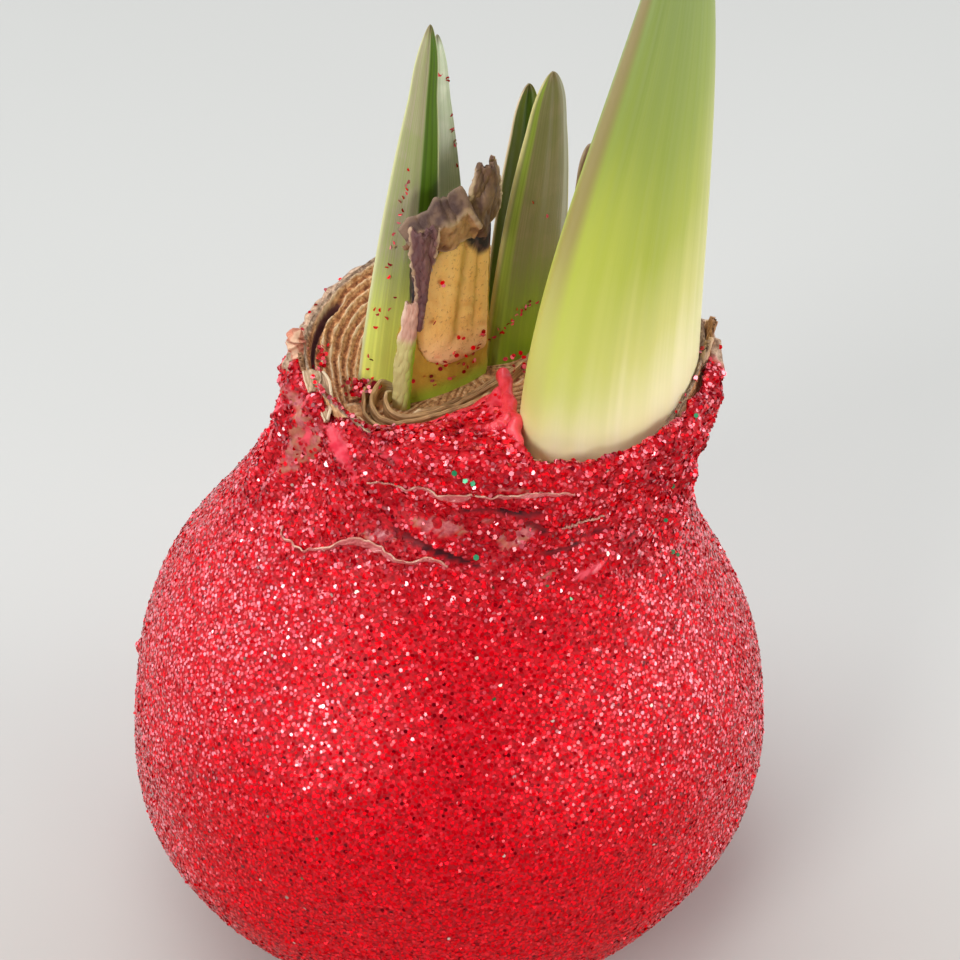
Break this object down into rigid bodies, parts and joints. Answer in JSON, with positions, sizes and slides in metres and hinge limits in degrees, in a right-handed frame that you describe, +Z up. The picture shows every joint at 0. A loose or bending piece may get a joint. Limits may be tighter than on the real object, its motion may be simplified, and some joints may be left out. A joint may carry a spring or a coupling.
{
  "type": "waxed amaryllis bulb",
  "caption": "Round flower bulb in a red glittered wax skin with a flat spot under it, its cut neck open at the top with green leaf shoots and a closed flower bud.",
  "frame": {"origin": "middle of the flat spot that the bulb rests on", "axes": "+Z up, +X to the right and -Y towards the viewer of the front"},
  "size_m": [0.1055, 0.1047, 0.1874],
  "materials": {
    "wax_coat": "red wax packed with red metallic glitter flakes, a few green and pale ones",
    "bulb": "dry brown papery scale edges, matt and grainy",
    "leaf_left_front": "living leaf, bright green stripe between grey-green bloom, waxy",
    "leaf_left_back": "living leaf with a grey-white streaked bloom, waxy",
    "leaf_right_front": "living leaf, grey-green with a purple-grey cast and a pale margin, waxy",
    "leaf_right_back": "living leaf, dark green with a pale margin, waxy",
    "withered_leaf": "cut leaf stump, tan and ribbed with a green foot and a brown crumpled top",
    "dry_leaf_back": "dry brown leaf end, matt",
    "flower_bud": "closed spathe, cream at the foot and green towards the tip, satin"
  },
  "bodies": {
    "root": {"wax_coat": "wax_coat", "bulb": "bulb", "leaf_left_front": "leaf_left_front", "leaf_left_back": "leaf_left_back", "leaf_right_front": "leaf_right_front", "leaf_right_back": "leaf_right_back", "withered_leaf": "withered_leaf", "dry_leaf_back": "dry_leaf_back", "flower_bud": "flower_bud"}
  },
  "joints": []
}
